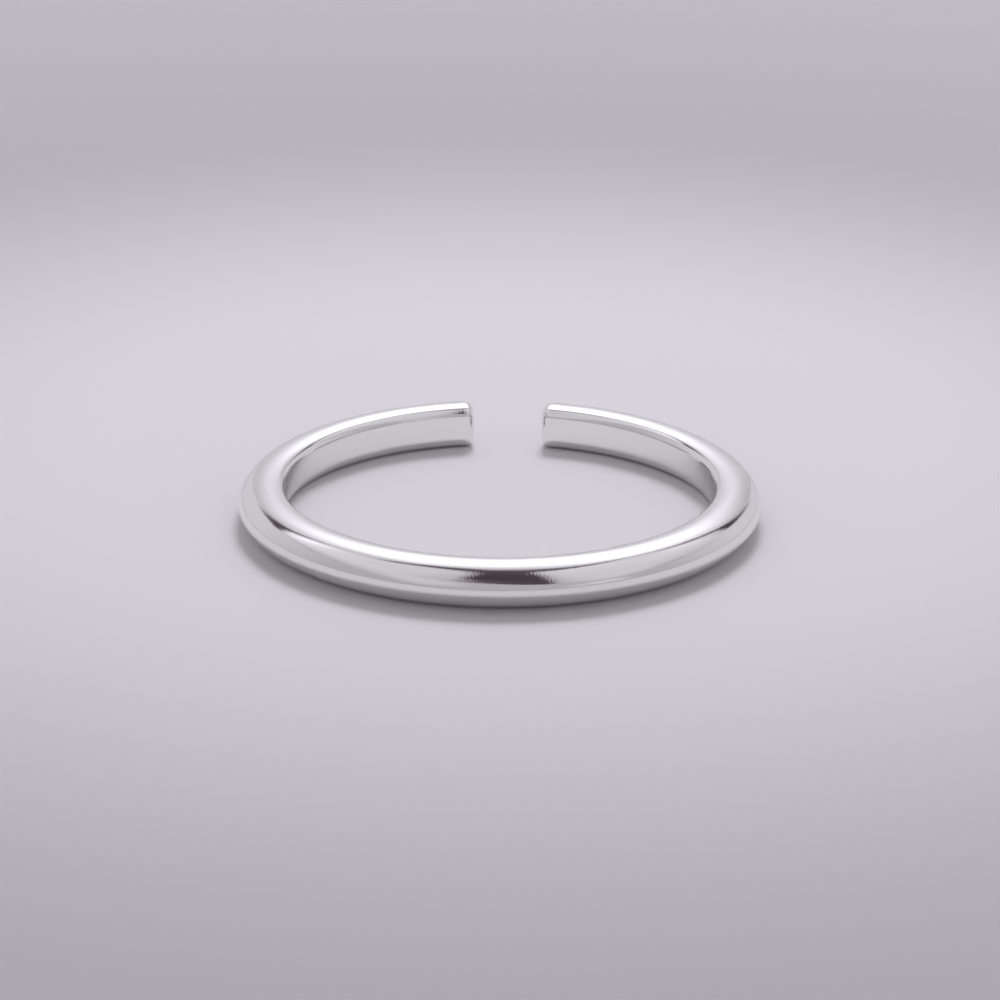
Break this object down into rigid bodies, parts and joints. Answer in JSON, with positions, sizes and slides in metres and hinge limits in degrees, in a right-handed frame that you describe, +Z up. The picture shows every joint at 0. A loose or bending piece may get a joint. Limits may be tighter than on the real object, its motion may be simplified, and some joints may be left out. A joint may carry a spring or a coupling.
{
  "type": "toe ring",
  "caption": "Open toe ring: a half-round polished silver band, flat inside and crowned outside, with a gap between two eased tips so that it can be opened or closed a little to fit.",
  "frame": {"origin": "on the toe hole's axis, level with the surface that the ring lies on", "axes": "+Z up, along the toe hole's axis; the gap between the tips faces +Y"},
  "size_m": [0.0182, 0.0181, 0.0016],
  "materials": {
    "silver": "polished"
  },
  "bodies": {
    "root": {"band": "silver"}
  },
  "joints": []
}
